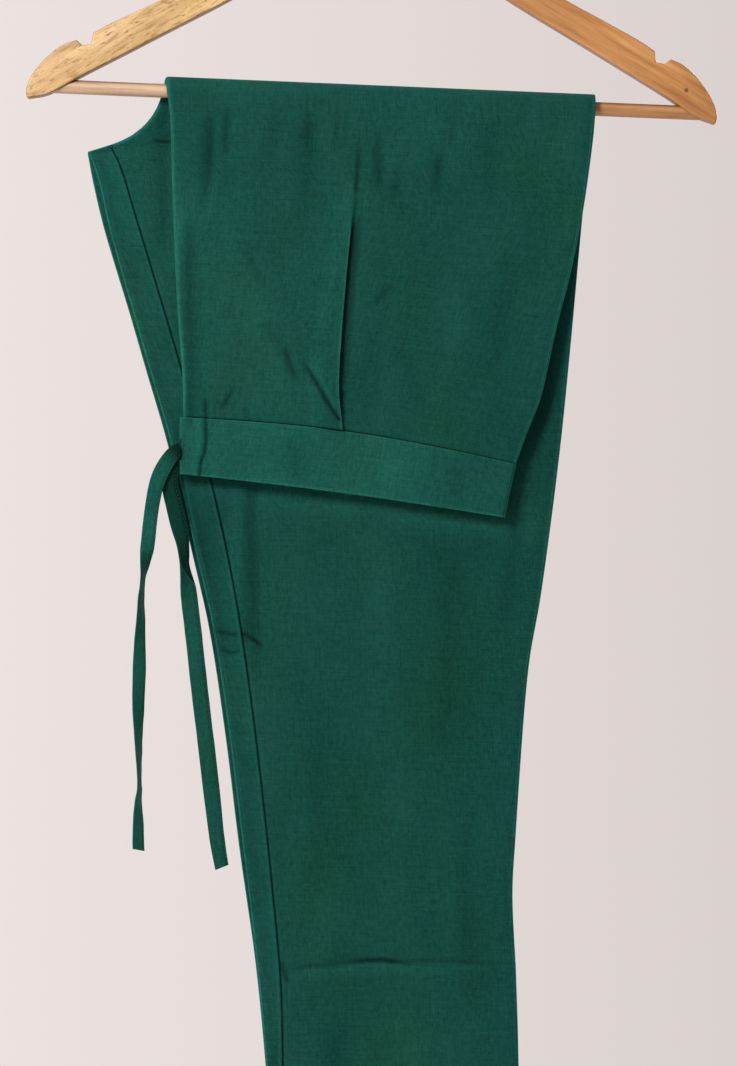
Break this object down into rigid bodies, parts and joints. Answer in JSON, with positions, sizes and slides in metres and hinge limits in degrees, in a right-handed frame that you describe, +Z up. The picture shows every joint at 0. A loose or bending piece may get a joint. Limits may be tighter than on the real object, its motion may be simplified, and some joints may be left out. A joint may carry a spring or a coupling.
{
  "type": "trousers on a hanger",
  "caption": "Straight cotton trousers with a drawstring waistband, folded in half and draped over the rod of a wooden clothes hanger, held up by its hook.",
  "frame": {"origin": "inner top of the hanger's hook, where it rests on a rail", "axes": "+Z up, +Y towards the legs' far side, away from the drop with the waistband, +X to the right as seen from the drop's side"},
  "size_m": [0.4444, 0.0209, 0.8885],
  "materials": {
    "green_cotton": "matte dark green woven cotton with a slight sheen",
    "green_tape": "flat tie of the same cotton",
    "golden_wood": "pale golden wood, satin",
    "brown_wood": "orange-brown wood, satin",
    "pale_beech": "turned pale wood, satin",
    "steel": "bright bent wire"
  },
  "bodies": {
    "root": {"front_right": "green_cotton", "front_left": "green_cotton", "back_right": "green_cotton", "back_left": "green_cotton", "waistband_front": "green_cotton", "waistband_back": "green_cotton", "drawstring_left": "green_tape", "drawstring_right": "green_tape", "hanger_arm_left": "golden_wood", "hanger_arm_right": "brown_wood", "hanger_rod": "pale_beech", "hanger_hook": "steel"}
  },
  "joints": []
}
